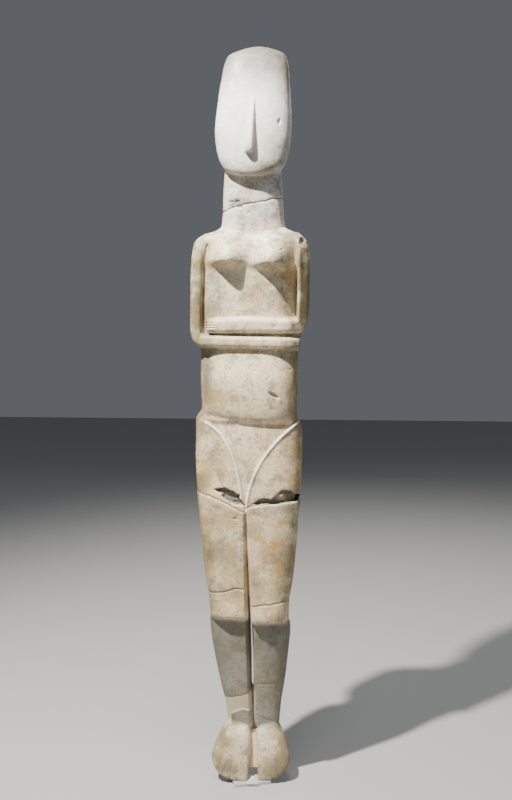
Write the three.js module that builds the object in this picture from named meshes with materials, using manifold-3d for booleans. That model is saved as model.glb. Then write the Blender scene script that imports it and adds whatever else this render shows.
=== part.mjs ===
// A Cycladic marble figure of a standing woman with folded arms, on the clear sheet and peg that hold its
// feet. Millimetres, +Z up. The figure faces -Y, and its own left is at +X. The origin is under the sheet.
import * as THREE from "three";
import { mergeVertices } from "three/addons/utils/BufferGeometryUtils.js";
import Module from "manifold-3d";

const wasm = await Module();
wasm.setup();

// The figure
const FIGURE_HEIGHT = 1520;

// The clear stand
const PLATE_WIDTH = 78;
const PLATE_DEPTH = 100;
const PLATE_TURN_DEGREES = 16; // the sheet isn't square to the figure
const PLATE_THICKNESS = 6;
const PLATE_EDGE_RADIUS = 1;
const PLATE_EDGE_SEGMENTS = 2;
const PLATE_FRONT_X = 6; // the middle of its front edge
const PLATE_TOE_MARGIN = 5; // how far that middle lies in front of the toes
const PEG_BASE_WIDTH = 25;
const PEG_TOP_WIDTH = 6;
const PEG_HEIGHT = 13;
const PEG_THICKNESS = 10;
const PEG_CLEARANCE = 1; // around the peg, where it stands in the notch between the feet
const REST_GAP = 0.3; // between pieces that rest on each other

// Section of each form: how square it is, and how finely it is faceted round and along the form.
// A power of 2 is an ellipse, more is squarer, and less than 1 is a V with hollow sides.
const SECTIONS = {
  trunk: { power: 2.6, segments: 32, step: 30 },
  chest: { power: 3.6, segments: 32, step: 40 },
  neck: { power: 2.3, segments: 28, step: 60 },
  head: { power: 2.5, segments: 28, step: 30 },
  nose: { power: 3, segments: 10, step: 40 },
  arm: { power: 3, segments: 16, step: 30 },
  forearm: { power: 2.4, segments: 16, step: 30 },
  breast: { power: 2, segments: 16, step: 12 },
  foot: { power: 3, segments: 24, step: 30 },
  web: { power: 3, segments: 12, step: 60 },
  slit: { power: 6, segments: 8, step: 200 },
  groove: { power: 0.8, segments: 12, step: 40 },
};
const PANEL_SIDE_SEGMENTS = 8;
const FRONT_REACH = 120; // more than the figure's depth in front of its middle
const MERGE_DISTANCE = 1e-4;

// The carving is written in units of 1/1520 of the figure's height, which are millimetres at its real size.
// Heights are above the tips of the toes, and x and y are from the middle of the feet.
const CARVED_HEIGHT = 1520;
const unit = FIGURE_HEIGHT / CARVED_HEIGHT;
const toesLevel = PLATE_THICKNESS + REST_GAP;

// Ankles to shoulders, as one slab: height, centre, half width, front, back
const TRUNK = [
  [100, 4, 53, -11, 20],
  [130, 3.5, 56.5, -18, 26],
  [150, 3, 59, -21, 30],
  [200, 1, 68.5, -27, 38],
  [270, -2.5, 79.5, -34, 44],
  [322, -4, 84.5, -37, 42],
  [338, -4.5, 84, -38, 38],
  [350, -5, 81, -49, 34],
  [372, -5.5, 83, -51, 32],
  [420, -5.5, 90.5, -50, 36],
  [500, -6.5, 99.5, -51, 43],
  [600, -7.5, 107, -53, 50],
  [680, -8, 111, -49, 54],
  [728, -8, 110, -43, 54],
  [750, -8, 104, -40, 50],
  [762, -7.5, 99.5, -45, 46],
  [788, -7, 98, -53, 43],
  [830, -7, 100, -56, 40],
  [885, -7, 100, -47, 41],
  [930, -6.5, 100, -39, 44],
  [1030, -6.5, 104, -37, 48],
  [1085, -6.5, 106, -37, 48],
  [1112, -6.5, 102, -32, 46],
  [1132, -6, 88, -22, 43],
  [1143, -5, 62, -14, 40],
];

// Chest and shoulders, broader than the waist: height, centre, half width, front, back
const CHEST = [
  [890, -7, 90, -34, 38],
  [915, -6.5, 100, -40, 44],
  [960, -6, 107, -40, 48],
  [1040, -6, 110, -40, 49.5],
  [1090, -6, 112, -39.5, 49],
  [1113, -6, 111, -38, 48],
  [1128, -5, 103, -35, 46],
  [1134, -3, 93.5, -32.5, 45],
  [1138, -1.5, 84, -31, 44],
  [1144, -0.5, 73, -25.5, 41.5],
  [1150, 0, 63, -17, 36],
];

// Neck: height, centre, half width, front, back
const NECK = [
  [1110, 0, 67, -24, 34],
  [1148, 0, 64, -34, 40],
  [1230, -1, 60, -35, 38],
  [1290, 0, 56, -33, 34],
];

// Head, tilted back: height, centre, half width, front, back
const HEAD = [
  [1250, -3.5, 23, -51, -20],
  [1257, -2, 46, -54.5, 4],
  [1271, 0.5, 62, -56.5, 22],
  [1298, -0.5, 72, -55, 35],
  [1345, -1, 77.5, -47, 46],
  [1400, 0.5, 75, -33, 57],
  [1450, 2, 70, -18, 63],
  [1490, 3.5, 64, -4, 64],
  [1502, 4, 58.5, 2, 61],
  [1510, 6, 44, 9, 56],
  [1516, 7, 27, 17, 50],
  [1520, 6, 11, 25, 42],
];

// Nose: height, centre, half width, front, back
const NOSE = [
  [1293, -4.5, 9.5, -66, -30],
  [1302, -4.5, 9.5, -67.5, -30],
  [1349, -1.5, 6.5, -55.5, -26],
  [1380, 1, 4, -44, -20],
  [1410, 2.5, 1.5, -30, -10],
];

// Upper arms: height, centre, half width, front, back
const OWN_LEFT_ARM = [
  [938, 94, 7, -34, 32],
  [946, 98, 10.5, -40, 38],
  [966, 101.5, 12.5, -43, 43],
  [1000, 103, 13, -43.5, 45],
  [1060, 103.5, 13, -43.5, 46],
  [1096, 103, 13, -41, 45],
  [1120, 97, 13, -34, 42],
  [1138, 85, 9, -24, 38],
];
const OWN_RIGHT_ARM = [
  [906, -101, 9, -34, 32],
  [913, -106, 13, -41, 38],
  [934, -111.5, 15.5, -44, 42],
  [960, -113, 15.5, -44, 44],
  [1060, -112.2, 14.8, -43.5, 46],
  [1092, -110.5, 14.5, -41, 45],
  [1118, -104, 14.5, -34, 42],
  [1128, -97.5, 12, -30, 40],
  [1135, -91, 9, -25, 38],
];

// Forearms, from one side to the other: x, middle height, half height, front, back
const UPPER_FOREARM = [
  [-91, 949, 11, -47, -20],
  [-85, 949, 14, -51, -20],
  [-10, 951, 16, -54, -20],
  [80, 948.5, 13.5, -51, -10],
  [96, 949, 12.5, -45, 10],
  [105, 951, 10, -34, 20],
];
const LOWER_FOREARM = [
  [-115, 921, 9, -34, 20],
  [-98, 919, 12.5, -49, -10],
  [-10, 917, 12, -54, -20],
  [74, 915, 12.5, -52, -10],
  [97, 913, 12.5, -42, 20],
];

// Where the front of her left upper arm starts to slant back, by as much as it goes out
const OWN_LEFT_ARM_SLOPE = { x: 92, y: -43.5, endX: 125, low: 927, high: 1145 };

// Breasts, steep below and soft above: height, half width, front, back
const BREAST_X = [-47, 43];
const BREAST = [
  [1064, 13, -42, -20],
  [1071, 24, -57, -20],
  [1082, 30.5, -68, -20],
  [1096, 31, -62, -20],
  [1111, 30.5, -51, -20],
  [1126, 27, -39, -20],
  [1136, 22, -28, -20],
];

// Fingers at the end of the upper forearm, parted by shallow grooves
const FINGER_COUNT = 5;
const FINGERTIP_X = -91;
const FINGER_LENGTH = 20;
const FINGER_GROOVE = 1.6;
const FINGER_GROOVE_DEPTH = 2.5;

// Foot at the figure's own right: height, centre, half width, front, back. The other one is narrower.
const FOOT = [
  [0, -21, 16, -47, -24],
  [6, -30.5, 25.5, -48, -22],
  [22, -40, 35.5, -46, -14],
  [44, -43.5, 39.5, -41, -3],
  [72, -38.5, 36.5, -34, 12],
  [98, -31, 29.5, -22, 22],
  [108, -28, 26, -15, 24],
  [122, -27, 24, -8, 20],
];
const NARROW_FOOT_SHARE = 0.86;
const NARROW_FOOT_BACK = 5; // its toes lie further back
const FOOT_GAP_X = 6; // the middle of the gap between the feet

// Grooves between the toes spread like a fan from a point of the ankle
const TOE_FAN_X = -23;
const TOE_FAN_LEVEL = 129;
const TOE_FAN_DEGREES = [2, 9, 16, 23];
const TOE_GROOVE = [
  [-2, 1.6, 3],
  [20, 1.4, 2.5],
  [46, 0.6, 0.8],
]; // height, half width, depth

// Web that joins the feet, in the gap between them: height, centre, half width, front, back
const WEB = [
  [17, 6, 14, -30, -12],
  [60, 5.5, 14, -24, 4],
  [110, 5, 14, -10, 16],
  [150, 3, 12, -8, 14],
];

// Line between the legs: height, x, half width of the groove, depth of the groove
const LEG_LINE = [
  [96, 5, 9, 10],
  [130, 3.5, 8, 14],
  [200, 1.5, 9.5, 24],
  [300, -1.5, 10, 28],
  [385, -5, 8.5, 22],
  [480, -8.5, 6.5, 14],
  [578, -11.5, 4, 7],
  [604, -12, 1.5, 2],
];
const LEG_LINE_BACK_END = [735, -8, 2, 3]; // it ends higher at the back

// Slit that goes right through between the calves: height, x, half width
const SLIT = [
  [186, 1, 1.8],
  [205, 1, 2.8],
  [350, -2.5, 2.8],
  [388, -4, 1.8],
];
const SLIT_REACH = 90;

// Spine, as a shallow groove down the back: height, x, half width, depth
const SPINE = [
  [756, -8, 3, 1.5],
  [900, -7, 5, 4],
  [1060, -6.5, 5, 4],
  [1120, -6, 3, 1.5],
];

// Sunk panel between belly and thighs. Its corners at the hips, its foot, and how its sides bow
const PANEL_TOP = 757;
const PANEL_CORNERS_X = [-100, 97];
const PANEL_FOOT = [-13.5, 571];
const PANEL_BOWS = [
  [-24, 729],
  [-5.5, 684],
];
const PANEL_DEPTH = 4;

// Lost pieces along the break across the thighs, as seen from the front, and their depth
const LOST_PIECES = [
  [
    [-76, 616],
    [-51, 619],
    [-38, 613],
    [-28, 607],
    [-21, 609],
    [-23, 599],
    [-13, 584],
    [-31, 584],
    [-45, 590],
    [-60, 601],
  ],
  [
    [0, 586],
    [26, 601],
    [41, 596],
    [55, 610],
    [66, 616],
    [84, 610],
    [98, 601],
    [92, 591],
    [55, 588],
    [15, 586],
  ],
];
const LOST_DEPTH = 9;

// Chips knocked off corners: x, y, height, radius
const CHIPS = [
  [-68, 22, 1506, 13],
  [109, -36, 1122, 14],
];

// Materials, with colours in linear light
const MARBLE = new THREE.MeshStandardMaterial({
  color: new THREE.Color(0.6, 0.55, 0.46),
  roughness: 0.55,
  metalness: 0,
});
const CLEAR_SHEET = new THREE.MeshStandardMaterial({
  color: new THREE.Color(0.85, 0.88, 0.88),
  roughness: 0.05,
  metalness: 0,
  transparent: true,
  opacity: 0.35,
});

// Cubic curve through each column of a table's rows, with no overshoot between them
function smoothTable(rows) {
  const columns = rows[0].length - 1;
  const at = rows.map((row) => row[0]);
  const slopes = rows.map(() => new Array(columns).fill(0));
  for (let i = 1; i < rows.length - 1; i++) {
    const before = at[i] - at[i - 1];
    const after = at[i + 1] - at[i];
    for (let c = 0; c < columns; c++) {
      const left = (rows[i][c + 1] - rows[i - 1][c + 1]) / before;
      const right = (rows[i + 1][c + 1] - rows[i][c + 1]) / after;
      const mean = (left * after + right * before) / (before + after);
      const limit = Math.min(Math.abs(left), Math.abs(right), 0.5 * Math.abs(mean));
      slopes[i][c] = (Math.sign(left) + Math.sign(right)) * limit;
    }
  }
  for (let c = 0; c < columns; c++) {
    const last = rows.length - 1;
    slopes[0][c] = (rows[1][c + 1] - rows[0][c + 1]) / (at[1] - at[0]);
    slopes[last][c] = (rows[last][c + 1] - rows[last - 1][c + 1]) / (at[last] - at[last - 1]);
  }
  return (t) => {
    let i = 0;
    while (i < rows.length - 2 && t > at[i + 1]) i++;
    const width = at[i + 1] - at[i];
    const s = Math.min(Math.max((t - at[i]) / width, 0), 1);
    const values = [];
    for (let c = 0; c < columns; c++) {
      const start = rows[i][c + 1];
      const end = rows[i + 1][c + 1];
      const rise = end - start;
      const a = (slopes[i][c] + slopes[i + 1][c]) * width - 2 * rise;
      const b = 3 * rise - (2 * slopes[i][c] + slopes[i + 1][c]) * width;
      values.push(((a * s + b) * s + slopes[i][c] * width) * s + start);
    }
    return values;
  };
}

// Places along a table: every row, and even steps between rows that are far apart
function placesAlong(rows, step) {
  const places = [rows[0][0]];
  for (let i = 1; i < rows.length; i++) {
    const from = rows[i - 1][0];
    const span = rows[i][0] - from;
    const parts = Math.max(1, Math.round(span / step));
    for (let k = 1; k <= parts; k++) places.push(from + (span * k) / parts);
  }
  return places;
}

// Closed surface through rings of points, each ring seen turning the same way, capped at both ends
function skin(rings) {
  const count = rings[0].length;
  const positions = [];
  const faces = [];
  for (const ring of rings) {
    for (const point of ring) positions.push(point.x, point.y, point.z);
  }
  for (let r = 0; r < rings.length - 1; r++) {
    for (let k = 0; k < count; k++) {
      const a = r * count + k;
      const b = r * count + ((k + 1) % count);
      faces.push(a, b, b + count, a, b + count, a + count);
    }
  }
  for (const [ring, turned] of [
    [0, true],
    [rings.length - 1, false],
  ]) {
    const middle = new THREE.Vector3();
    for (const point of rings[ring]) middle.addScaledVector(point, 1 / count);
    const hub = positions.length / 3;
    positions.push(middle.x, middle.y, middle.z);
    for (let k = 0; k < count; k++) {
      const a = ring * count + k;
      const b = ring * count + ((k + 1) % count);
      faces.push(...(turned ? [hub, b, a] : [hub, a, b]));
    }
  }
  const geometry = new THREE.BufferGeometry();
  geometry.setAttribute("position", new THREE.Float32BufferAttribute(positions, 3));
  geometry.setIndex(faces);
  return geometry;
}

// Points round a superellipse, from its middle and half sizes
function superellipse(midA, midB, halfA, halfB, power, segments) {
  const points = [];
  for (let k = 0; k < segments; k++) {
    const angle = (2 * Math.PI * (k + 0.5)) / segments;
    const a = Math.sign(Math.cos(angle)) * Math.abs(Math.cos(angle)) ** (2 / power);
    const b = Math.sign(Math.sin(angle)) * Math.abs(Math.sin(angle)) ** (2 / power);
    points.push([midA + halfA * a, midB + halfB * b]);
  }
  return points;
}

// Upright form from rows of height, centre, half width, front, back, with its front set back by frontCut
function upright(rows, { power, segments, step }, frontCut = 0) {
  const table = smoothTable(rows);
  return skin(
    placesAlong(rows, step).map((level) => {
      const [centre, halfWidth, front, back] = table(level);
      const middle = (front + frontCut + back) / 2;
      const halfDepth = (back - front - frontCut) / 2;
      return superellipse(centre, middle, halfWidth, halfDepth, power, segments).map(
        ([x, y]) => new THREE.Vector3(x, y, level),
      );
    }),
  );
}

// Form that lies across, from rows of x, middle height, half height, front, back
function across(rows, { power, segments, step }) {
  const table = smoothTable(rows);
  return skin(
    placesAlong(rows, step).map((x) => {
      const [middle, halfHeight, front, back] = table(x);
      return superellipse((front + back) / 2, middle, (back - front) / 2, halfHeight, power, segments).map(
        ([y, z]) => new THREE.Vector3(x, y, z),
      );
    }),
  );
}

function toSolid(geometry) {
  const bare = geometry.clone();
  bare.deleteAttribute("normal");
  bare.deleteAttribute("uv");
  const merged = mergeVertices(bare, MERGE_DISTANCE);
  return new wasm.Manifold(
    new wasm.Mesh({
      numProp: 3,
      vertProperties: merged.attributes.position.array,
      triVerts: new Uint32Array(merged.index.array),
    }),
  );
}

function toGeometry(solid) {
  const mesh = solid.getMesh();
  const geometry = new THREE.BufferGeometry();
  geometry.setAttribute("position", new THREE.BufferAttribute(mesh.vertProperties, 3));
  geometry.setIndex(new THREE.BufferAttribute(mesh.triVerts, 1));
  geometry.computeVertexNormals();
  return geometry;
}

function joined(geometries) {
  return geometries.map(toSolid).reduce((whole, piece) => whole.add(piece));
}

// What lies inside a front-view outline, further forward than a body's middle
function frontPrism(shape) {
  const prism = new THREE.ExtrudeGeometry(shape, {
    depth: FRONT_REACH,
    bevelEnabled: false,
    curveSegments: PANEL_SIDE_SEGMENTS,
  });
  return toSolid(prism.rotateX(Math.PI / 2));
}

// Groove down the front, with side -1, or the back, with side 1, of an upright form
function groove(rows, side, form = TRUNK, { power } = SECTIONS.trunk) {
  const table = smoothTable(form);
  const levels = rows.map(([level, x, halfWidth, depth]) => {
    const [centre, formHalf, front, back] = table(level);
    const out = Math.max(1 - (Math.abs(x - centre) / formHalf) ** power, 0) ** (1 / power);
    const surface = (front + back) / 2 + (side * out * (back - front)) / 2;
    return [level, x, halfWidth, surface - depth, surface + depth];
  });
  return upright(levels, SECTIONS.groove);
}

function torsoAndLegs() {
  const trunk = toSolid(upright(TRUNK, SECTIONS.trunk));
  const belowPanel = toSolid(upright(TRUNK, SECTIONS.trunk, PANEL_DEPTH));
  const belowLosses = toSolid(upright(TRUNK, SECTIONS.trunk, LOST_DEPTH));
  const chest = toSolid(upright(CHEST, SECTIONS.chest));
  const [leftX, rightX] = PANEL_CORNERS_X;
  const panel = new THREE.Shape().moveTo(leftX, PANEL_TOP);
  panel.quadraticCurveTo(...PANEL_BOWS[0], ...PANEL_FOOT);
  panel.quadraticCurveTo(...PANEL_BOWS[1], rightX, PANEL_TOP);
  panel.closePath();
  const lost = LOST_PIECES.map((points) =>
    frontPrism(new THREE.Shape(points.map(([x, z]) => new THREE.Vector2(x, z)))),
  );
  const backLine = [...LEG_LINE.slice(0, -1), LEG_LINE_BACK_END];
  const slit = SLIT.map(([level, x, half]) => [level, x, half, -SLIT_REACH, SLIT_REACH]);
  let solid = trunk.add(chest).subtract(frontPrism(panel).subtract(belowPanel));
  for (const piece of lost) solid = solid.subtract(piece.subtract(belowLosses));
  for (const cut of [groove(LEG_LINE, -1), groove(backLine, 1), groove(SPINE, 1)]) {
    solid = solid.subtract(toSolid(cut));
  }
  return solid.subtract(toSolid(upright(slit, SECTIONS.slit)));
}

function arms() {
  return joined([
    upright(OWN_LEFT_ARM, SECTIONS.arm),
    upright(OWN_RIGHT_ARM, SECTIONS.arm),
    across(UPPER_FOREARM, SECTIONS.forearm),
    across(LOWER_FOREARM, SECTIONS.forearm),
  ]).subtract(inFrontOfSlope(OWN_LEFT_ARM_SLOPE));
}

// What lies in front of a plane that slants back towards the figure's own left
function inFrontOfSlope({ x, y, endX, low, high }) {
  const shape = new THREE.Shape().moveTo(x, y);
  shape.lineTo(x, -FRONT_REACH).lineTo(endX, -FRONT_REACH).lineTo(endX, y + endX - x);
  shape.closePath();
  const prism = new THREE.ExtrudeGeometry(shape, { depth: high - low, bevelEnabled: false });
  return toSolid(prism.translate(0, 0, low));
}

function breasts() {
  return joined(
    BREAST_X.map((x) =>
      upright(
        BREAST.map(([level, halfWidth, front, back]) => [level, x, halfWidth, front, back]),
        SECTIONS.breast,
      ),
    ),
  );
}

function fingerGrooves() {
  const [, middle, halfHeight, front] = UPPER_FOREARM[1];
  const pitch = (2 * halfHeight) / FINGER_COUNT;
  return joined(
    Array.from({ length: FINGER_COUNT - 1 }, (_, i) =>
      new THREE.BoxGeometry(FINGER_LENGTH, 2 * FINGER_GROOVE_DEPTH, FINGER_GROOVE).translate(
        FINGERTIP_X + FINGER_LENGTH / 2,
        front,
        middle - halfHeight + pitch * (i + 1),
      ),
    ),
  );
}

function headAndNeck() {
  return joined([
    upright(NECK, SECTIONS.neck),
    upright(HEAD, SECTIONS.head),
    upright(NOSE, SECTIONS.nose),
  ]);
}

// Where a place on the figure's own right foot lies on the other, narrower one
function onNarrowFoot(x) {
  return FOOT_GAP_X - NARROW_FOOT_SHARE * (x - FOOT_GAP_X) - (1 - NARROW_FOOT_SHARE) * FOOT_GAP_X;
}

function toeGrooves(foot, placeX) {
  return TOE_FAN_DEGREES.map((degrees) => {
    const spread = Math.tan(THREE.MathUtils.degToRad(degrees));
    const rows = TOE_GROOVE.map(([level, halfWidth, depth]) => [
      level,
      placeX(TOE_FAN_X - (TOE_FAN_LEVEL - level) * spread),
      halfWidth,
      depth,
    ]);
    return groove(rows, -1, foot, SECTIONS.foot);
  });
}

function feet() {
  const footTop = FOOT[FOOT.length - 1][0];
  const narrow = FOOT.map(([level, centre, half, front, back]) => [
    level,
    onNarrowFoot(centre),
    half * NARROW_FOOT_SHARE,
    front + NARROW_FOOT_BACK * (1 - level / footTop),
    back,
  ]);
  const solid = joined([
    upright(FOOT, SECTIONS.foot),
    upright(narrow, SECTIONS.foot),
    upright(WEB, SECTIONS.web),
  ]);
  const grooves = [...toeGrooves(FOOT, (x) => x), ...toeGrooves(narrow, onNarrowFoot)];
  return solid.subtract(joined(grooves));
}

function chips() {
  return joined(
    CHIPS.map(([x, y, level, radius]) => new THREE.IcosahedronGeometry(radius, 0).translate(x, y, level)),
  );
}

function figurine() {
  const carved = [arms(), breasts(), headAndNeck(), feet()].reduce(
    (whole, piece) => whole.add(piece),
    torsoAndLegs(),
  );
  const finished = carved.subtract(fingerGrooves()).subtract(chips());
  const geometry = toGeometry(finished.scale([unit, unit, unit]));
  const mesh = new THREE.Mesh(geometry, MARBLE);
  mesh.name = "figurine";
  mesh.position.z = toesLevel;
  return mesh;
}

// Flat clear sheet under the toes, with its edges eased
function footPlate(toesFrontY) {
  const r = PLATE_EDGE_RADIUS;
  const outline = new THREE.Shape()
    .moveTo(-PLATE_WIDTH / 2 + r, -PLATE_DEPTH / 2 + r)
    .lineTo(PLATE_WIDTH / 2 - r, -PLATE_DEPTH / 2 + r)
    .lineTo(PLATE_WIDTH / 2 - r, PLATE_DEPTH / 2 - r)
    .lineTo(-PLATE_WIDTH / 2 + r, PLATE_DEPTH / 2 - r);
  const sheet = new THREE.ExtrudeGeometry(outline, {
    depth: PLATE_THICKNESS - 2 * r,
    bevelThickness: r,
    bevelSize: r,
    bevelSegments: PLATE_EDGE_SEGMENTS,
  }).translate(0, 0, r);
  const mesh = new THREE.Mesh(toGeometry(toSolid(sheet)), CLEAR_SHEET);
  const turn = THREE.MathUtils.degToRad(PLATE_TURN_DEGREES);
  mesh.name = "foot_plate";
  mesh.rotation.z = turn;
  mesh.position.x = PLATE_FRONT_X - (PLATE_DEPTH / 2) * Math.sin(turn);
  mesh.position.y = toesFrontY - PLATE_TOE_MARGIN + (PLATE_DEPTH / 2) * Math.cos(turn);
  return mesh;
}

// Clear wedge that stands on the sheet, in the notch between the feet
function footPeg(toesFrontY) {
  const outline = new THREE.Shape()
    .moveTo(-PEG_BASE_WIDTH / 2, 0)
    .lineTo(PEG_BASE_WIDTH / 2, 0)
    .lineTo(PEG_TOP_WIDTH / 2, PEG_HEIGHT)
    .lineTo(-PEG_TOP_WIDTH / 2, PEG_HEIGHT);
  const wedge = new THREE.ExtrudeGeometry(outline, { depth: PEG_THICKNESS, bevelEnabled: false });
  const mesh = new THREE.Mesh(toGeometry(toSolid(wedge.rotateX(Math.PI / 2))), CLEAR_SHEET);
  mesh.name = "foot_peg";
  mesh.position.set(FOOT_GAP_X * unit, toesFrontY - PEG_CLEARANCE, PLATE_THICKNESS + REST_GAP);
  return mesh;
}

const toesFront = Math.min(...FOOT.map(([, , , front]) => front)) * unit;
const model = new THREE.Group();
model.add(figurine(), footPlate(toesFront), footPeg(toesFront));

export default model;
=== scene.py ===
# A Cycladic marble figure of a standing woman with folded arms, on a clear sheet and a clear peg
import itertools
import math

import bmesh
import bpy
import numpy as np
from mathutils import Matrix, Vector


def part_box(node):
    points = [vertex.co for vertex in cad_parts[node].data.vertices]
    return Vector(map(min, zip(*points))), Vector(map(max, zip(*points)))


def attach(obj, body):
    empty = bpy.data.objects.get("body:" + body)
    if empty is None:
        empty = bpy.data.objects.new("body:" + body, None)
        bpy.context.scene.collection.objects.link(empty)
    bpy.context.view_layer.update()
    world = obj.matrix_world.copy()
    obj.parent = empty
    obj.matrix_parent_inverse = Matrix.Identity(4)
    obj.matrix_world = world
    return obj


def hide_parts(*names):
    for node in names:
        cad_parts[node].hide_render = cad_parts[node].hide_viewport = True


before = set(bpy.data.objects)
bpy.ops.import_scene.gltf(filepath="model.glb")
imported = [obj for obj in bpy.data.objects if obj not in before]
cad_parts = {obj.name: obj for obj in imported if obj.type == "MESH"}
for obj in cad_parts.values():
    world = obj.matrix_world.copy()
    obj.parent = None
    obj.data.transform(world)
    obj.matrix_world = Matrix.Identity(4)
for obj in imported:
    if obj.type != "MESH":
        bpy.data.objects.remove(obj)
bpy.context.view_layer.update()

# The carving is written in units of 1/1520 of the figure's height, millimetres at its real size.
# Heights are above the tips of the toes. The figure faces -Y, and its own left is at +X.
CARVED_HEIGHT = 1520
FIGURE_LOW, FIGURE_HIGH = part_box("figurine")
UNIT = (FIGURE_HIGH.z - FIGURE_LOW.z) / CARVED_HEIGHT
MM = 0.001

# Fineness of the carved surface, and the grid that it is carved on
STEP = 1.5
MOST_TRIANGLES = 190_000
GRID_LOW = (-140, -92, -8)
GRID_HIGH = (130, 76, 1530)
MARGIN = 30  # how far round a form its distances are worked out
FAR = 60.0  # stands for every longer distance
TINY = 1e-4

# Upright forms: height, centre, half width, front, back. The trunk runs from ankles to shoulders
TRUNK = [
    (100, 4, 53, -11, 20),
    (130, 3.5, 56.5, -18, 26),
    (150, 3, 59, -21, 30),
    (200, 1, 68.5, -27, 38),
    (270, -2.5, 79.5, -34, 44),
    (322, -4, 84.5, -37, 42),
    (335, -4.5, 84, -37, 38),
    (345, -5, 81.5, -48, 35),
    (372, -5.5, 83, -51, 32),
    (420, -5.5, 90.5, -50, 36),
    (500, -6.5, 99.5, -51, 43),
    (600, -7.5, 107, -53, 50),
    (680, -8, 111, -49, 54),
    (728, -8, 110, -46, 54),
    (750, -8, 104, -44.5, 50),
    (762, -7.5, 99.5, -49, 46),
    (788, -7, 98, -53.5, 43),
    (830, -7, 100, -56, 40),
    (885, -7, 100, -47, 41),
    (930, -6.5, 100, -39, 44),
    (1030, -6.5, 104, -37, 48),
    (1085, -6.5, 106, -37, 48),
    (1112, -6.5, 102, -32, 46),
    (1132, -6, 88, -22, 43),
    (1143, -5, 62, -14, 40),
]
CHEST = [
    (890, -7, 90, -34, 38),
    (915, -6.5, 100, -40, 44),
    (960, -6, 107, -40, 48),
    (1040, -6, 110, -40, 49.5),
    (1090, -6, 112, -39.5, 49),
    (1113, -6, 111, -38, 48),
    (1128, -5, 103, -35, 46),
    (1134, -3, 93.5, -32.5, 45),
    (1138, -1.5, 84, -31, 44),
    (1144, -0.5, 73, -25.5, 41.5),
    (1150, 0, 63, -17, 36),
]
NECK = [
    (1110, 0, 67, -24, 34),
    (1148, 0, 64, -34, 40),
    (1230, -1, 60, -35, 38),
    (1290, 0, 56, -33, 34),
]
HEAD = [
    (1250, -3.5, 23, -51, -20),
    (1257, -2, 46, -54.5, 4),
    (1271, 0.5, 62, -56.5, 22),
    (1298, -0.5, 72, -55, 35),
    (1345, -1, 77.5, -47, 46),
    (1400, 0.5, 75, -33, 57),
    (1450, 2, 70, -18, 63),
    (1490, 3.5, 64, -4, 64),
    (1502, 4, 58.5, 2, 61),
    (1510, 6, 44, 9, 56),
    (1516, 7, 27, 17, 50),
    (1520, 6, 11, 25, 42),
]
NOSE = [
    (1293, -4.5, 9.5, -68, -30),
    (1302, -4.5, 9.5, -70, -30),
    (1349, -1.5, 6.5, -57, -26),
    (1380, 1, 4, -44.5, -20),
    (1410, 2.5, 1.5, -30, -10),
]
OWN_LEFT_ARM = [
    (938, 94, 7, -34, 32),
    (946, 98, 10.5, -40, 38),
    (966, 101.5, 12.5, -43, 43),
    (1000, 103, 13, -43.5, 45),
    (1060, 103.5, 13, -43.5, 46),
    (1096, 103, 13, -41, 45),
    (1120, 97, 13, -34, 42),
    (1138, 85, 9, -24, 38),
]
OWN_RIGHT_ARM = [
    (906, -101, 9, -34, 32),
    (913, -106, 13, -41, 38),
    (934, -111.5, 15.5, -44, 42),
    (960, -113, 15.5, -44, 44),
    (1060, -112.2, 14.8, -43.5, 46),
    (1092, -110.5, 14.5, -41, 45),
    (1118, -104, 14.5, -34, 42),
    (1128, -97.5, 12, -30, 40),
    (1135, -91, 9, -25, 38),
]
# Forearms, from one side to the other: x, middle height, half height, front, back
UPPER_FOREARM = [
    (-91, 949, 11, -47, -20),
    (-85, 949, 14, -51, -20),
    (-10, 951, 16, -54, -20),
    (80, 948.5, 13.5, -51, -10),
    (96, 949, 12.5, -45, 10),
    (105, 951, 10, -34, 20),
]
LOWER_FOREARM = [
    (-115, 921, 9, -34, 20),
    (-98, 919, 12.5, -49, -10),
    (-10, 917, 12, -54, -20),
    (74, 915, 12.5, -52, -10),
    (97, 913, 12.5, -42, 20),
]
# Soft swellings on the front, two breasts and two knees: x and height of the tip, half width,
# reach above and below the tip, depth
SWELLINGS = [
    (-50, 1082, 28, 42, 12, 31),
    (40, 1078, 31, 45, 12, 31),
    (-50, 352, 31, 26, 8, 6),
    (38, 345, 30, 26, 8, 6),
]
# Planes that slant back to the figure's own left: x and y of the start, slope, end,
# lowest and highest
OWN_LEFT_ARM_SLOPE = (88, -42.5, 0.85, 125, 914, 1145)
CHEST_SLOPE = (57, -38.5, 0.66, 90, 950, 1160)
# One foot. The other is its mirror image across the gap, narrower and set back
FOOT = [
    (0, -21, 16, -47, -24),
    (6, -30.5, 25.5, -48, -22),
    (22, -40, 35.5, -46, -14),
    (44, -43.5, 39.5, -41, -3),
    (72, -38.5, 36.5, -34, 12),
    (98, -31, 29.5, -22, 22),
    (108, -28, 26, -15, 24),
    (122, -27, 24, -8, 20),
]
NARROW_FOOT_SHARE = 0.86
NARROW_FOOT_BACK = 5
FOOT_GAP_X = 6
# Stone that joins the two feet
WEB = [
    (17, 6, 14, -20, -8),
    (60, 5.5, 14, -12, 4),
    (104, 5, 14, -5, 16),
    (150, 3, 12, -6, 14),
]

# Grooves: height, x, half width, depth
LEG_LINE = [
    (96, 5, 9, 10),
    (130, 3.5, 8, 14),
    (200, 1.5, 9.5, 24),
    (300, -1.5, 10, 28),
    (385, -5, 8.5, 22),
    (480, -8.5, 6.5, 14),
    (578, -11.5, 4, 7),
    (604, -12, 1.5, 2),
]
LEG_LINE_BACK = LEG_LINE[:-1] + [(735, -8, 2, 3)]
SPINE = [
    (756, -8, 3, 1.5),
    (900, -7, 6, 4),
    (1060, -6.5, 6, 4),
    (1120, -6, 3, 1.5),
]
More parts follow.
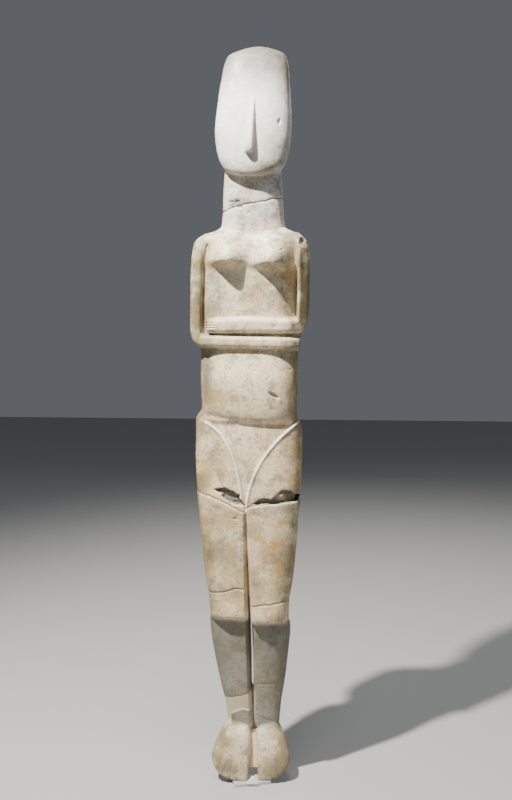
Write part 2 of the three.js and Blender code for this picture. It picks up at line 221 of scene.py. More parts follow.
# Slit right through between the calves: height, x, half width
SLIT = [
    (186, 1, 1.8),
    (205, 1, 2.8),
    (350, -2.5, 2.8),
    (388, -4, 1.8),
]
SLIT_REACH = 90
# The grooves between the toes spread from one point: its x and height, and their angles
TOE_FAN = (-23, 129)
TOE_FAN_DEGREES = (2, 9, 16, 23)
# Each of those grooves: height, half width, depth
TOE_GROOVE = [
    (-8, 1.5, 2.6),
    (12, 1.4, 1.8),
    (36, 1.2, 0.8),
    (48, 1, 0),
]

# Sunk panel between belly and thighs. Its two sides are curves from the hips to its foot
PANEL_TOP = 757
PANEL_CORNERS_X = (-100, 97)
PANEL_FOOT = (-13.5, 571)
PANEL_BOWS = ((-24, 729), (-5.5, 684))
PANEL_DEPTH = 4
PANEL_SLOPE = 3
PANEL_RIM = 2.2
# Where the painted highlight along its rim lies outside the outline, and how wide that is
RIM_HIGHLIGHT_AWAY = 2
RIM_HIGHLIGHT_WIDTH = 1.7

# How square each form's section is: 2 is an ellipse, and more is squarer
SQUARE = {
    "trunk": 2.6,
    "chest": 3.6,
    "neck": 2.3,
    "head": 2.5,
    "nose": 3,
    "arm": 3,
    "forearm": 3.4,
    "foot": 3,
    "web": 3,
    "slit": 6,
    "groove": 0.8,
}

# How softly the arms run into the trunk: heights, and the softness at each
ARM_SOFTNESS = ((900, 1085, 1120), (3, 3, 16))

# The crease under the belly sags towards the middle, and the knees are at two heights
BELLY_CREASE = 750
BELLY_LOWEST_X = 32
BELLY_RISE = 0.0013
BELLY_RISE_REACH = 34
OWN_LEFT_KNEE_DROP = 8
KNEE_LEVEL = 345
KNEE_REACH = 40

# Pieces lost along the break across the thighs: points of x and height
LOST_PIECES = [
    [(-76, 616), (-62, 620), (-51, 619), (-38, 613), (-28, 607), (-21, 609)]
    + [(-23, 599), (-13, 584), (-31, 584), (-45, 590), (-60, 601)],
    [(0, 586), (14, 593), (26, 601), (41, 596), (48, 603), (55, 610), (66, 616)]
    + [(84, 610), (98, 601), (92, 591), (55, 588), (15, 586)],
]
LOST_DEPTH = 8
# Islets of old surface left in them: x, height, half width, half height
LOST_ISLETS = [(-66, 606, 9, 4), (61, 604, 9, 7)]

# Breaks that run right round, and finer cracks: points of x and height
BREAKS = [
    [(-125, 608), (-111, 607), (-88, 601), (-59, 591), (-30, 577), (-14, 569)],
    [(-13, 575), (-5, 580), (10, 584), (56, 588), (94, 592), (120, 594)],
    [(-110, 396), (-87, 397), (-68, 399), (-53, 403), (-30, 410), (-14, 409)],
    [(4, 373), (20, 376), (39, 377), (78, 383), (105, 388)],
    [(-80, 1176), (-60, 1181), (-46, 1186), (-18, 1193), (1, 1196)]
    + [(27, 1200), (40, 1205), (55, 1208), (80, 1211)],
]
CRACKS = [
    [(8, 201), (30, 202), (52, 202), (76, 203)],
    [(10, 133), (20, 126), (31, 121), (45, 118)],
    [(-52, 168), (-43, 169), (-22, 175), (-4, 181)],
]
# The piece below the break across the thighs stands this far forward, down to this far below it
PROUD_STEP = 1.3
PROUD_REACH = 26
BREAK_HALF_WIDTH = 1.5
BREAK_DEPTH = 2.0
CRACK_HALF_WIDTH = 1.2
CRACK_DEPTH = 0.8
# Half widths of the dark lines in them
BREAK_LINE = 1.3
CRACK_LINE = 1.1

# Line where one arm lies against the chest: points of x and height
ARM_LINE = [(-103, 936), (-102, 960), (-100, 998), (-97, 1045), (-94.5, 1090), (-91, 1112)]
ARM_LINE_HALF_WIDTH = 2.0
ARM_LINE_DEPTH = 2.5

# Where the fill round one ankle has fallen away from the old stone
OLD_STONE = [(-43, 106), (-43, 132), (-33, 138), (-19, 145), (-9, 142), (8, 142), (8, 106)]
OLD_STONE_HEIGHT = 2.2
FILL_DEPTH = 0.8
ANKLE_FILL = [(-62, 108), (-62, 166), (-43, 169), (-22, 175), (8, 184), (8, 108)]

# Bruises beside the break across the neck: x, height, half width, half height
BRUISES = [(-34, 1198, 12, 7), (-41, 1192, 5, 4), (-25, 1190, 6, 4)]
# Pits: x, height, half width, half height, slant, depth
PITS = [
    (45, 810, 9, 3.6, -0.45, 5),
    (-43, 863, 2, 1.6, 0, 1),
    (7, 860, 2.2, 1.5, 0, 1),
    (78, 862, 2, 2, 0, 1),
    (45, 949, 2, 1.6, 0, 1),
    (-34, 1008, 2, 2, 0, 1),
    (-57, 694, 3, 1.2, 0, 1.2),
    (-66, 684, 2, 1.4, 0, 1),
    (-61, 690, 1.6, 1.2, 0, 0.8),
    (-32, 557, 4, 3, 0, 1.6),
    (-27, 563, 2, 2, 0, 1.4),
    (53, 1356, 3, 5.5, 0.5, 3),
    (-8, 1177, 3, 2, 0, 1.5),
    (60, 1102, 4, 2, 0.4, 1.2),
]
# Chips knocked off corners: x, y, height, radius
CHIPS = [
    (-68, 22, 1506, 13),
    (109, -34, 1122, 14),
    (102, -44, 1118, 8),
    (-131, -18, 1066, 4),
    (-2, -60, 606, 5),
]
SHOULDER_CHIPS = CHIPS[1:3]

# Fingers, by the grooves between them: start and end, first height, pitch, number, depth
HANDS = [
    (-96, -71, 940, 5.2, 4, 2.2),
    (86, 102, 905.5, 4.6, 4, 1.0),
]
FINGER_GROOVE_HALF_WIDTH = 1.1

# Ochre stains: x, height, radius, strength
OCHRE = [
    (43, 501, 15, 1.0),
    (22, 511, 11, 0.8),
    (52, 458, 11, 1.0),
    (60, 441, 9, 0.9),
    (60, 545, 15, 0.7),
    (30, 470, 10, 0.5),
    (-104, 660, 18, 0.6),
    (-100, 540, 22, 0.5),
    (90, 640, 22, 0.5),
    (96, 700, 16, 0.5),
    (-76, 1078, 14, 0.35),
    (80, 830, 22, 0.35),
    (-88, 800, 14, 0.4),
    (-86, 450, 20, 0.4),
    (40, 366, 22, 0.5),
    (-52, 376, 20, 0.4),
    (58, 1060, 18, 0.3),
]

# Darker patches: x, height, half width, half height, strength. Those on her own right side of the
# chest, belly and thighs are dull stone, one is a bruise beside the neck's break, and those marked
# below are painted shade
DULL_AND_SHADE = [
    (-72, 1012, 18, 55, 0.6),
    (-60, 985, 30, 14, 0.3),
    (-92, 850, 15, 80, 1.0),
    (88, 845, 12, 70, 0.4),
    (-100, 650, 9, 60, 0.4),
    (-87, 470, 14, 85, 0.8),
    (-30, 470, 26, 60, 0.25),
    (-106, 1000, 12, 60, 0.25),
    (48, 20, 34, 26, 0.55),
    (-40, 16, 34, 20, 0.4),
    (0, 660, 22, 50, 0.35),
    # painted shade between the forearms
    (0, 932, 88, 4, 1.0),
    (-33, 1199, 10, 7, 1.6),
    (38, 1494, 44, 32, 0.95),
    # painted shade on the right side of the head
    (68, 1440, 14, 60, 0.5),
    # painted shade on the lower right of the face
    (52, 1300, 30, 55, 0.55),
    # painted shade under the right of the jaw
    (35, 1262, 34, 14, 0.5),
    # painted shade on the right breast
    (47, 1086, 30, 12, 0.35),
    # painted shade under the lower forearm
    (0, 899, 90, 5, 0.4),
]
# Base colour at each height. It darkens towards the tips of the toes and towards the top of the head,
# and the greyer band from the ankles to the knees is partly painted shade
TONES = [
    (0, (0.62, 0.50, 0.33)),
    (60, (0.70, 0.58, 0.40)),
    (106, (0.74, 0.64, 0.46)),
    # greyer band on the lower legs, partly painted shade
    (116, (0.56, 0.52, 0.42)),
    (330, (0.56, 0.52, 0.42)),
    (348, (0.80, 0.65, 0.43)),
    (420, (0.78, 0.64, 0.43)),
    (700, (0.86, 0.70, 0.45)),
    (940, (0.86, 0.73, 0.49)),
    (1140, (0.86, 0.75, 0.54)),
    (1160, (0.72, 0.65, 0.57)),
    (1250, (0.78, 0.75, 0.71)),
    (1275, (0.76, 0.75, 0.70)),
    (1400, (0.80, 0.79, 0.74)),
    (1445, (0.46, 0.45, 0.42)),
    (1485, (0.22, 0.215, 0.20)),
    (1520, (0.17, 0.165, 0.155)),
]
# Painted shade on the lower legs at each height, up to under the knees' overhang
SHIN_SHADE = [(0, 0), (107, 0), (112, 0.36), (190, 0.54), (340, 0.74), (350, 0), (CARVED_HEIGHT, 0)]
# Tones and painted shade lie lower by this step on her left leg, which is past this x and below this
# height
SHIN_STEP = 8
SHIN_STEP_X = 2.0
SHIN_STEP_TOP = 600
# The wear thins out between these heights, towards the cleaner head, by this share
HEAD_LEVELS = (1235, 1290)
HEAD_CLEANNESS = 0.72
# How much of the wear the back has, next to the front
WEAR_BEHIND = 0.4

# Layers of colour over those tones, in order: where each lies, the noise that breaks it into patches,
# the layer's strength and its colour. The noise has a scale, a detail, a roughness, and the two values
# between which a patch sets in
LAYERS = [
    ("wear", (0.012, 5.0, 0.62, 0.45, 0.62), 0.70, (0.44, 0.30, 0.14)),
    ("wear", (0.034, 6.0, 0.70, 0.50, 0.64), 0.62, (0.22, 0.21, 0.17)),
    # darker weathering on the trunk's sides, and painted shade under the breasts
    ("patina_and_shade", (0.024, 5.0, 0.60, 0.28, 0.58), 0.85, (0.20, 0.155, 0.075)),
    ("wear", (0.11, 5.0, 0.75, 0.50, 0.66), 0.42, (0.19, 0.155, 0.10)),
    ("wear", (0.24, 4.0, 0.78, 0.52, 0.66), 0.62, (0.11, 0.095, 0.07)),
    # painted highlight along the panel's rim
    ("rim", None, 0.80, (0.92, 0.87, 0.76)),
    # painted shade on the lower legs, below the knees
    ("painted_shin_shade", None, 1.00, (0.085, 0.083, 0.068)),
    # dull stone, and the painted shade listed in that table
    ("dull_and_shade", (0.028, 5.0, 0.70, 0.26, 0.56), 0.85, (0.13, 0.11, 0.065)),
    ("dull_and_shade", (0.24, 4.0, 0.78, 0.52, 0.66), 0.70, (0.08, 0.075, 0.065)),
    ("ochre", (0.10, 3.0, 0.50, 0.44, 0.52), 1.00, (0.55, 0.30, 0.06)),
    ("fill", None, 0.70, (0.60, 0.52, 0.34)),
    # painted shade in the groove between the legs, darker where it is deeper
    ("groove", None, 0.35, (0.36, 0.33, 0.28)),
]
# Over the layers come the bare stone of what is lost and chipped, each in two colours, and dark lines
LOST_COLOURS = ((0.15, 0.125, 0.105), (0.25, 0.21, 0.175))
CHIP_COLOURS = ((0.09, 0.08, 0.065), (0.36, 0.33, 0.28))
BREAK_COLOUR = (0.10, 0.08, 0.06)
CRACK_COLOUR = (0.20, 0.17, 0.13)
# Painted shade in pits and grooves is at its darkest from this depth on
DARK_PIT_DEPTH = 4
DARK_GROOVE_DEPTH = 14

# Stand, in millimetres
PLATE_WIDTH = 78
PLATE_DEPTH = 100
PLATE_TURN_DEGREES = 16
PLATE_FRONT_X = 6
PLATE_TOE_MARGIN = 5
PEG_BASE_WIDTH = 25
PEG_TOP_WIDTH = 6
PEG_THICKNESS = 10
STAND_BEVEL = 0.8

# Heights where the feet, the trunk and the neck end, and how gradually the front turns to the back
FEET_TOP = 110
TRUNK_TOP = 1146
NECK_TOP = 1256
TURN_WIDTH = 8


# Numbers

def smooth_table(rows):
    """Cubic curve through each column of a table's rows, with no overshoot between them."""
    rows = np.array(rows, float)
    at, values = rows[:, 0], rows[:, 1:]
    width = np.diff(at)[:, None]
    rise = np.diff(values, axis=0) / width
    slopes = np.empty_like(values)
    mean = (rise[:-1] * width[1:] + rise[1:] * width[:-1]) / (width[:-1] + width[1:])
    limit = np.minimum(np.minimum(abs(rise[:-1]), abs(rise[1:])), abs(mean) / 2)
    slopes[1:-1] = (np.sign(rise[:-1]) + np.sign(rise[1:])) * limit
    slopes[0], slopes[-1] = rise[0], rise[-1]

    def value(t):
        t = np.asarray(t, float)
        i = np.clip(np.searchsorted(at, t, side="right") - 1, 0, len(at) - 2)
        s = np.clip((t - at[i]) / width[i, 0], 0, 1)[..., None]
        span = width[i]
        step = values[i + 1] - values[i]
        a = (slopes[i] + slopes[i + 1]) * span - 2 * step
        b = 3 * step - (2 * slopes[i] + slopes[i + 1]) * span
        result = ((a * s + b) * s + slopes[i] * span) * s + values[i]
        return [result[..., c].astype(np.float32) for c in range(values.shape[1])]

    return value


def ease(t):
    t = np.clip(t, 0, 1)
    return t * t * (3 - 2 * t)


def smooth_min(a, b, soft):
    h = np.clip(0.5 + 0.5 * (b - a) / soft, 0, 1)
    return b + (a - b) * h - soft * h * (1 - h)


def value_noise(points, size, seed):
    """Smooth noise from -1 to 1, with lumps of about that size."""
    count = 64
    lattice = np.random.default_rng(seed).uniform(-1, 1, (count, count, count)).astype(np.float32)
    scaled = np.asarray(points) / size
    cell = np.floor(scaled).astype(int)
    t = ease(scaled - cell)
    total = 0
    for corner in itertools.product((0, 1), repeat=3):
        index = (cell + corner) % count
        share = np.prod(np.where(corner, t, 1 - t), axis=-1)
        total = total + lattice[index[..., 0], index[..., 1], index[..., 2]] * share
    return total


def front_noise(x, z, size, seed):
    x, z = np.broadcast_arrays(x, z)
    return value_noise(np.stack([x, np.zeros_like(x), z], axis=-1), size, seed)


def segment_distance(x, z, start, end):
    run, rise = end[0] - start[0], end[1] - start[1]
    share = np.clip(((x - start[0]) * run + (z - start[1]) * rise) / (run * run + rise * rise), 0, 1)
    return np.hypot(x - start[0] - share * run, z - start[1] - share * rise)


def line_distance(x, z, points):
    nearest = FAR
    for start, end in zip(points, points[1:]):
        nearest = np.minimum(nearest, segment_distance(x, z, start, end))
    return nearest


def outline_distance(x, z, points):
    """Distance to a closed outline seen from the front, less than 0 inside it."""
    inside = np.zeros(np.broadcast(x, z).shape, bool)
    for (ax, az), (bx, bz) in zip(points, points[1:] + points[:1]):
        if az != bz:
            inside ^= ((az > z) != (bz > z)) & (x < ax + (bx - ax) * (z - az) / (bz - az))
    nearest = line_distance(x, z, points + points[:1])
    return np.where(inside, -nearest, nearest)


def bow(start, middle, end, count=16):
    """Points along a curve that leaves start towards middle and comes from there to end."""
    points = []
    for t in np.linspace(0, 1, count):
        a, b, c = (1 - t) ** 2, 2 * t * (1 - t), t * t
        points.append(tuple(a * p + b * q + c * r for p, q, r in zip(start, middle, end)))
    return points


# Forms

def section_distance(side, y, half, front, back, square):
    """Distance to a superellipse, from places beside its middle and along y."""
    depth = (back - front) / 2
    u = abs(side / half) + TINY
    v = abs((y - (front + back) / 2) / depth) + TINY
    pu, pv = u**square, v**square
    total = pu + pv
    size = total ** (1 / square)
    slope = size / total * np.sqrt((pu / u / half) ** 2 + (pv / v / depth) ** 2)
    return np.clip((size - 1) / slope, -FAR, FAR)


class Stone:
    """Distances to the carved surface on a grid, less than 0 inside the stone."""

    def __init__(self):
        ends = zip(GRID_LOW, GRID_HIGH)
        self.axes = [np.arange(low, high + STEP, STEP, dtype=np.float32) for low, high in ends]
        self.field = np.full([len(axis) for axis in self.axes], FAR, np.float32)

    def window(self, low, high):
        """Part of the grid between two corners, and its coordinates."""
        parts = []
        for axis, a, b in zip(self.axes, low, high):
            start = max(int((a - MARGIN - axis[0]) / STEP), 0)
            stop = min(int((b + MARGIN - axis[0]) / STEP) + 2, len(axis))
            parts.append(slice(start, stop))
        x, y, z = (axis[part] for axis, part in zip(self.axes, parts))
        return tuple(parts), x[:, None, None], y[None, :, None], z[None, None, :]

    def join(self, part, distance, soft):
        self.field[part] = smooth_min(self.field[part], distance, soft)

    def cut(self, part, distance, soft):
        self.field[part] = -smooth_min(-self.field[part], distance, soft)

    def upright(self, rows, square, soft=0.1, bend=None, cut=False):
        """Form from rows of height, centre, half width, front, back. bend moves its heights.

        soft is how softly it joins the rest, or heights and the softness at each.
        """
        table = np.array(rows, float)
        low = ((table[:, 1] - table[:, 2]).min(), table[:, 3].min(), table[0, 0])
        high = ((table[:, 1] + table[:, 2]).max(), table[:, 4].max(), table[-1, 0])
        part, x, y, z = self.window(low, high)
        level = z if bend is None else z + bend(x, z)
        centre, half, front, back = smooth_table(rows)(level)
        distance = section_distance(x - centre, y, half, front, back, square)
        distance = np.maximum(distance, np.maximum(z - high[2], low[2] - z))
        if isinstance(soft, tuple):
            soft = np.interp(z, *soft)
        (self.cut if cut else self.join)(part, distance, soft)

    def slant_back(self, start_x, start_y, slope, end_x, low, high, soft=6):
        """Cuts off what lies in front of a plane that slants back.

        The plane runs forward, clear of the stone, at its lower and upper ends.
        """
        part, x, y, z = self.window((start_x, -60, low), (end_x, 0, high))
        clear = 30 * (1 - ease((z - low) / 20) * ease((high - z) / 30))
        plane = start_y + slope * (x - start_x) - clear
        self.cut(part, (y - plane) / math.hypot(1, slope), soft)

    def across(self, rows, square, soft):
        """Form that lies across, from rows of x, middle height, half height, front, back."""
        table = np.array(rows, float)
        low = (table[0, 0], table[:, 3].min(), (table[:, 1] - table[:, 2]).min())
        high = (table[-1, 0], table[:, 4].max(), (table[:, 1] + table[:, 2]).max())
        part, x, y, z = self.window(low, high)
        middle, half, front, back = smooth_table(rows)(x)
        distance = section_distance(z - middle, y, half, front, back, square)
        self.join(part, np.maximum(distance, np.maximum(x - high[0], low[0] - x)), soft)


def own_left_of_middle(x, z):
    line, _, _ = smooth_table(LEG_LINE)(z)
    return ease((x - line) / 8 + 0.5)


def trunk_bend(x, z):
    """How far heights are moved where the belly's crease sags and one knee is lower."""
    near_crease = np.exp(-(((z - BELLY_CREASE) / BELLY_RISE_REACH) ** 2))
    near_knee = np.exp(-(((z - KNEE_LEVEL) / KNEE_REACH) ** 2))
    sag = BELLY_RISE * (x - BELLY_LOWEST_X) ** 2 * near_crease
    return OWN_LEFT_KNEE_DROP * near_knee * own_left_of_middle(x, z) - sag


def on_wide_foot(x):
    return x


def on_narrow_foot(x):
    """Where an x on the wide foot lies on the narrow one."""
    return NARROW_FOOT_SHARE * (2 * FOOT_GAP_X - x)


def narrow_foot():
    top = FOOT[-1][0]
    rows = []
    for level, centre, half, front, back in FOOT:
        set_back = NARROW_FOOT_BACK * (1 - level / top)
        rows.append((level, on_narrow_foot(centre), half * NARROW_FOOT_SHARE, front + set_back, back))
    return rows


# Carving on the front and back, as depths at x and height

def groove(x, z, rows):
    line, half, depth = smooth_table(rows)(z)
    share = np.clip(abs(x - line) / half, 0, 1)
    deep = depth * (1 - share ** SQUARE["groove"]) ** (1 / SQUARE["groove"])
    return np.where((z >= rows[0][0]) & (z <= rows[-1][0]), deep, 0)


def toe_groove(x, z, degrees, place):
    half, depth = smooth_table(TOE_GROOVE)(z)
    line = place(TOE_FAN[0] - (TOE_FAN[1] - z) * math.tan(math.radians(degrees)))
    return np.where(z < TOE_GROOVE[-1][0], depth * np.exp(-(((x - line) / half) ** 2)), 0)


def panel_outline():
    (left, right), top = PANEL_CORNERS_X, PANEL_TOP
    own_right = bow((left, top), PANEL_BOWS[0], PANEL_FOOT)
    own_left = bow(PANEL_FOOT, PANEL_BOWS[1], (right, top))
    return own_right + own_left[1:] + [(right, top + 12), (left, top + 12)]


def panel(x, z):
    away = outline_distance(x, z, panel_outline())
    step = PANEL_DEPTH * ease(0.5 - away / PANEL_SLOPE)
    rim = PANEL_RIM * np.exp(-(((away - PANEL_SLOPE) / PANEL_SLOPE) ** 2))
    return (step - rim) * ease((PANEL_TOP + 2 - z) / 12)


def rim_highlight_share(x, z):
    """Share of the painted highlight along the rim at the sides of the panel."""
    away = outline_distance(x, z, panel_outline())
    return np.exp(-(((away - RIM_HIGHLIGHT_AWAY) / RIM_HIGHLIGHT_WIDTH) ** 2)) * ease((PANEL_TOP - z) / 12)


def lost_share(x, z):
    """1 on the floor of the lost pieces, falling to 0 at their edges."""
    ragged = 1.6 * front_noise(x, z, 6, 11)
    share = 0
    for outline in LOST_PIECES:
        share = np.maximum(share, ease(0.5 - (outline_distance(x, z, outline) + ragged) / 3))
    for ix, iz, half_x, half_z in LOST_ISLETS:
        share = share * (1 - 0.8 * np.exp(-(((x - ix) / half_x) ** 2) - ((z - iz) / half_z) ** 2))
    return share


def jagged(points, seed, piece=7, height=0.9):
    """The same line with small uneven steps."""
    wander = np.random.default_rng(seed)
    line = [points[0]]
    for start, end in zip(points, points[1:]):
        count = max(1, round((end[0] - start[0]) / piece))
        for i in range(1, count + 1):
            share = i / count
            level = start[1] + (end[1] - start[1]) * share + wander.uniform(-height, height)
            line.append((start[0] + (end[0] - start[0]) * share, level))
    return line


def break_share(x, z, lines, half_width):
    """1 in the middle of a crack, falling to 0 beside it."""
    share = 0
    for seed, points in enumerate(lines):
        away = line_distance(x, z, jagged(points, seed))
        share = np.maximum(share, np.exp(-((away / half_width) ** 2)))
    return share


def swellings(x, z):
    depth = 0
    for tip_x, tip, half, above, below, deep in SWELLINGS:
        reach = np.where(z > tip, above, below)
        depth = depth + deep * np.exp(-(((x - tip_x) / half) ** 2) - ((z - tip) / reach) ** 2)
    return depth


def bruise_share(x, z):
    ragged = 0.5 * front_noise(x, z, 4, 13)
    share = 0
    for middle, level, half_x, half_z in BRUISES:
        near = np.hypot((x - middle) / half_x, (z - level) / half_z)
        share = np.maximum(share, ease(1.4 - near + ragged))
    return share


def chip_share(points, chips, reach):
    """1 in the chips, falling to 0 at that many times their radius."""
    share = 0
    for x, y, level, radius in chips:
        away = np.linalg.norm(points - (x, y, level), axis=1)
        share = np.maximum(share, ease((radius * reach - away) / 3))
    return share


def pit_distance(x, z, pit):
    """Distance to the middle of a pit, 1 at its edge."""
    middle, level, half_x, half_z, slant, _ = pit
    return np.hypot((x - middle) / half_x, (z - level - slant * (x - middle)) / half_z)


def pits(x, z):
    depth = 0
    for pit in PITS:
        depth = np.maximum(depth, pit[-1] * ease(1.5 - pit_distance(x, z, pit)))
    return depth


def fingers(x, z):
    depth = 0
    for start, end, first, pitch, count, deep in HANDS:
        along = ease((x - start) / 3) * ease((end - x) / 6)
        for i in range(count):
            away = (z - first - pitch * i) / FINGER_GROOVE_HALF_WIDTH
            depth = depth + deep * along * np.exp(-(away**2))
    return depth


def ankle_repair(x, z):
    """The fill has sunk a little, and the old stone under it stands proud."""
    sunk = FILL_DEPTH * ease(0.5 - outline_distance(x, z, ANKLE_FILL) / 4)
    proud = OLD_STONE_HEIGHT * ease(0.5 - outline_distance(x, z, OLD_STONE) / 1.5)
    return (sunk - proud) * ease((z - 106) / 4)


def proud_below_break(x, z):
    """The piece below the break across the thighs stands a little forward of the one above."""
    line = np.interp(np.broadcast_to(x, np.broadcast(x, z).shape), *zip(*(BREAKS[0] + BREAKS[1])))
    below = line - z
    return -PROUD_STEP * ease(below / 1.5 + 0.5) * ease((PROUD_REACH - below) / 22)


def all_round_carving(x, z):
    return BREAK_DEPTH * break_share(x, z, BREAKS, BREAK_HALF_WIDTH)


def front_carving(x, z):
    lost = lost_share(x, z)
    depth = panel(x, z) + groove(x, z, LEG_LINE) + pits(x, z) + fingers(x, z)
    depth = depth + ankle_repair(x, z) - swellings(x, z)
    depth = depth + ARM_LINE_DEPTH * break_share(x, z, [ARM_LINE], ARM_LINE_HALF_WIDTH)
    depth = depth + lost * (LOST_DEPTH + 1.6 * front_noise(x, z, 5, 14)) + proud_below_break(x, z)
    depth = depth + CRACK_DEPTH * break_share(x, z, CRACKS, CRACK_HALF_WIDTH)
    depth = depth + bruise_share(x, z) * (2.0 + 1.8 * front_noise(x, z, 3.5, 15))
    for degrees in TOE_FAN_DEGREES:
        for place in (on_wide_foot, on_narrow_foot):
            depth = depth + toe_groove(x, z, degrees, place)
    return depth + all_round_carving(x, z)


def back_carving(x, z):
    return groove(x, z, LEG_LINE_BACK) + groove(x, z, SPINE) + all_round_carving(x, z)


def middle_depth(z):
    """Where front turns to back, at each height."""
    middles = []
    for rows in (FOOT, TRUNK, NECK, HEAD):
        _, _, front, back = smooth_table(rows)(z)
        middles.append((front + back) / 2)
    foot, trunk, neck, head = middles
    upper = np.where(z < NECK_TOP, neck, head)
    return np.where(z < FEET_TOP, foot, np.where(z < TRUNK_TOP, trunk, upper))


def forward_share(y, z):
    """1 on the front, 0 on the back."""
    return ease((middle_depth(z) - y) / TURN_WIDTH + 0.5)


def carve_figure():
    """The whole figure, as distances on the grid."""
    stone = Stone()
    stone.upright(TRUNK, SQUARE["trunk"], bend=trunk_bend)
    stone.upright(CHEST, SQUARE["chest"], soft=12)
    stone.slant_back(*CHEST_SLOPE, soft=8)
    for rows in (OWN_LEFT_ARM, OWN_RIGHT_ARM):
        stone.upright(rows, SQUARE["arm"], soft=ARM_SOFTNESS)
    for rows in (UPPER_FOREARM, LOWER_FOREARM):
        stone.across(rows, SQUARE["forearm"], soft=4)
    stone.slant_back(*OWN_LEFT_ARM_SLOPE)
    stone.upright(NECK, SQUARE["neck"], soft=4)
    stone.upright(HEAD, SQUARE["head"], soft=2)
    stone.upright(NOSE, SQUARE["nose"], soft=2)
    for rows in (FOOT, narrow_foot()):
        stone.upright(rows, SQUARE["foot"], soft=1.5)
    stone.upright(WEB, SQUARE["web"], soft=3)

    x, y, z = stone.axes
    front_depth = front_carving(x[:, None], z[None, :])[:, None, :].astype(np.float32)
    back_depth = back_carving(x[:, None], z[None, :])[:, None, :].astype(np.float32)
    forward = forward_share(y[:, None], z[None, :])[None, :, :].astype(np.float32)
    stone.field += back_depth + (front_depth - back_depth) * forward

    slit = [(level, x, half, -SLIT_REACH, SLIT_REACH) for level, x, half in SLIT]
    stone.upright(slit, SQUARE["slit"], soft=1.5, cut=True)
    for chip_x, chip_y, level, radius in CHIPS:
        low = (chip_x - radius, chip_y - radius, level - radius)
        high = (chip_x + radius, chip_y + radius, level + radius)
        part, x, y, z = stone.window(low, high)
        x, y, z = np.broadcast_arrays(x - chip_x, y - chip_y, z - level)
        places = np.stack([x, y, z], axis=-1)
        rough = 0.2 * radius * value_noise(places, radius / 2, 16) + 0.6 * value_noise(places, 3, 17)
        stone.cut(part, np.sqrt(x * x + y * y + z * z) - radius + rough, 1)
    return stone


def surface_of(stone):
    """Points and quads of the surface where the distance is 0.

    Each cell of the grid that the surface crosses has one point.
    """
    field = stone.field
    inside = field < 0
    cells = tuple(n - 1 for n in field.shape)
    corner_cells, crossings, quads = [], [], []
    for a in range(3):
        b, c = (a + 1) % 3, (a + 2) % 3
        near = [slice(None)] * 3
        far = [slice(None)] * 3
        near[a], far[a] = slice(None, -1), slice(1, None)
        at = np.argwhere(inside[tuple(near)] != inside[tuple(far)])
        ahead = at.copy()
        ahead[:, a] += 1
        here, there = field[tuple(at.T)], field[tuple(ahead.T)]
        place = at.astype(float)
        place[:, a] += here / (here - there)
        ring = []
        for back_b, back_c in ((1, 1), (0, 1), (0, 0), (1, 0)):
            cell = at.copy()
            cell[:, b] -= back_b
            cell[:, c] -= back_c
            ring.append(np.ravel_multi_index(tuple(cell.T), cells))
        ring = np.stack(ring, axis=1)
        ring[here > 0] = ring[here > 0, ::-1]
        quads.append(ring)
        crossings.append(np.repeat(place, 4, axis=0))
        corner_cells.append(ring.reshape(-1))
    names, index = np.unique(np.concatenate(corner_cells), return_inverse=True)
    places = np.concatenate(crossings)
    count = np.bincount(index)
    points = np.stack([np.bincount(index, places[:, k]) / count for k in range(3)], axis=1)
    start = np.array([axis[0] for axis in stone.axes])
    return start + points * STEP, index.reshape(-1, 4)


# Meshes

def new_object(name, mesh):
    piece = bpy.data.objects.new(name, mesh)
    bpy.context.scene.collection.objects.link(piece)
    return piece


def mesh_from(name, points, quads):
    mesh = bpy.data.meshes.new(name)
    mesh.vertices.add(len(points))
    mesh.vertices.foreach_set("co", points.astype(np.float32).ravel())
    mesh.loops.add(quads.size)
    mesh.loops.foreach_set("vertex_index", quads.astype(np.int32).ravel())
    mesh.polygons.add(len(quads))
    mesh.polygons.foreach_set("loop_start", np.arange(0, quads.size, 4, dtype=np.int32))
    mesh.update(calc_edges=True)
    return mesh


def places_of(mesh, field="co"):
    values = np.empty(len(mesh.vertices) * 3, np.float32)
    mesh.vertices.foreach_get(field, values)
    return values.reshape(-1, 3)


def with_modifiers(piece):
    """Puts the piece's modifiers into its mesh."""
    graph = bpy.context.evaluated_depsgraph_get()
    mesh = bpy.data.meshes.new_from_object(piece.evaluated_get(graph))
    piece.modifiers.clear()
    piece.data = mesh
    return mesh


def add_field(mesh, name, values):
    values = np.clip(values, 0, 1).astype(np.float32)
    mesh.attributes.new(name, "FLOAT", "POINT").data.foreach_set("value", values)


def figurine():
    points, quads = surface_of(carve_figure())
    mesh = mesh_from("figurine_marble", points, quads)
    normals = places_of(mesh, "normal")
    x, z = points[:, 0], points[:, 2]
    forward = points[:, 1] < middle_depth(z)
    rough = forward * np.maximum(lost_share(x, z), 0.5 * bruise_share(x, z))
    rough = np.maximum(rough, chip_share(points, CHIPS, 1.15))
    handwork = 0.5 * value_noise(points, 55, 1) + 0.16 * value_noise(points, 18, 2)
    lumps = handwork + rough * (0.8 * value_noise(points, 4, 4) + 0.5 * value_noise(points, 9, 5))
    points = points + normals * lumps[:, None]
    points = points * UNIT + (0, 0, FIGURE_LOW.z)
    mesh.vertices.foreach_set("co", points.astype(np.float32).ravel())
    piece = new_object("figurine_marble", mesh)
    if 2 * len(quads) > MOST_TRIANGLES:
        piece.modifiers.new("thin", "DECIMATE").ratio = MOST_TRIANGLES / (2 * len(quads))
        mesh = with_modifiers(piece)
    mesh.polygons.foreach_set("use_smooth", np.ones(len(mesh.polygons), bool))
    mark_surface(mesh)
    mesh.materials.append(marble())
    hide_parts("figurine")
    return piece


def blots(x, z, rows):
    """Soft blots added up, from rows of x, height, half width, half height, strength."""
    total = 0
    for middle, level, half_x, half_z, strength in rows:
        near = np.exp(-(((x - middle) / half_x) ** 2) - ((z - level) / half_z) ** 2)
        total = total + strength * near
    return total


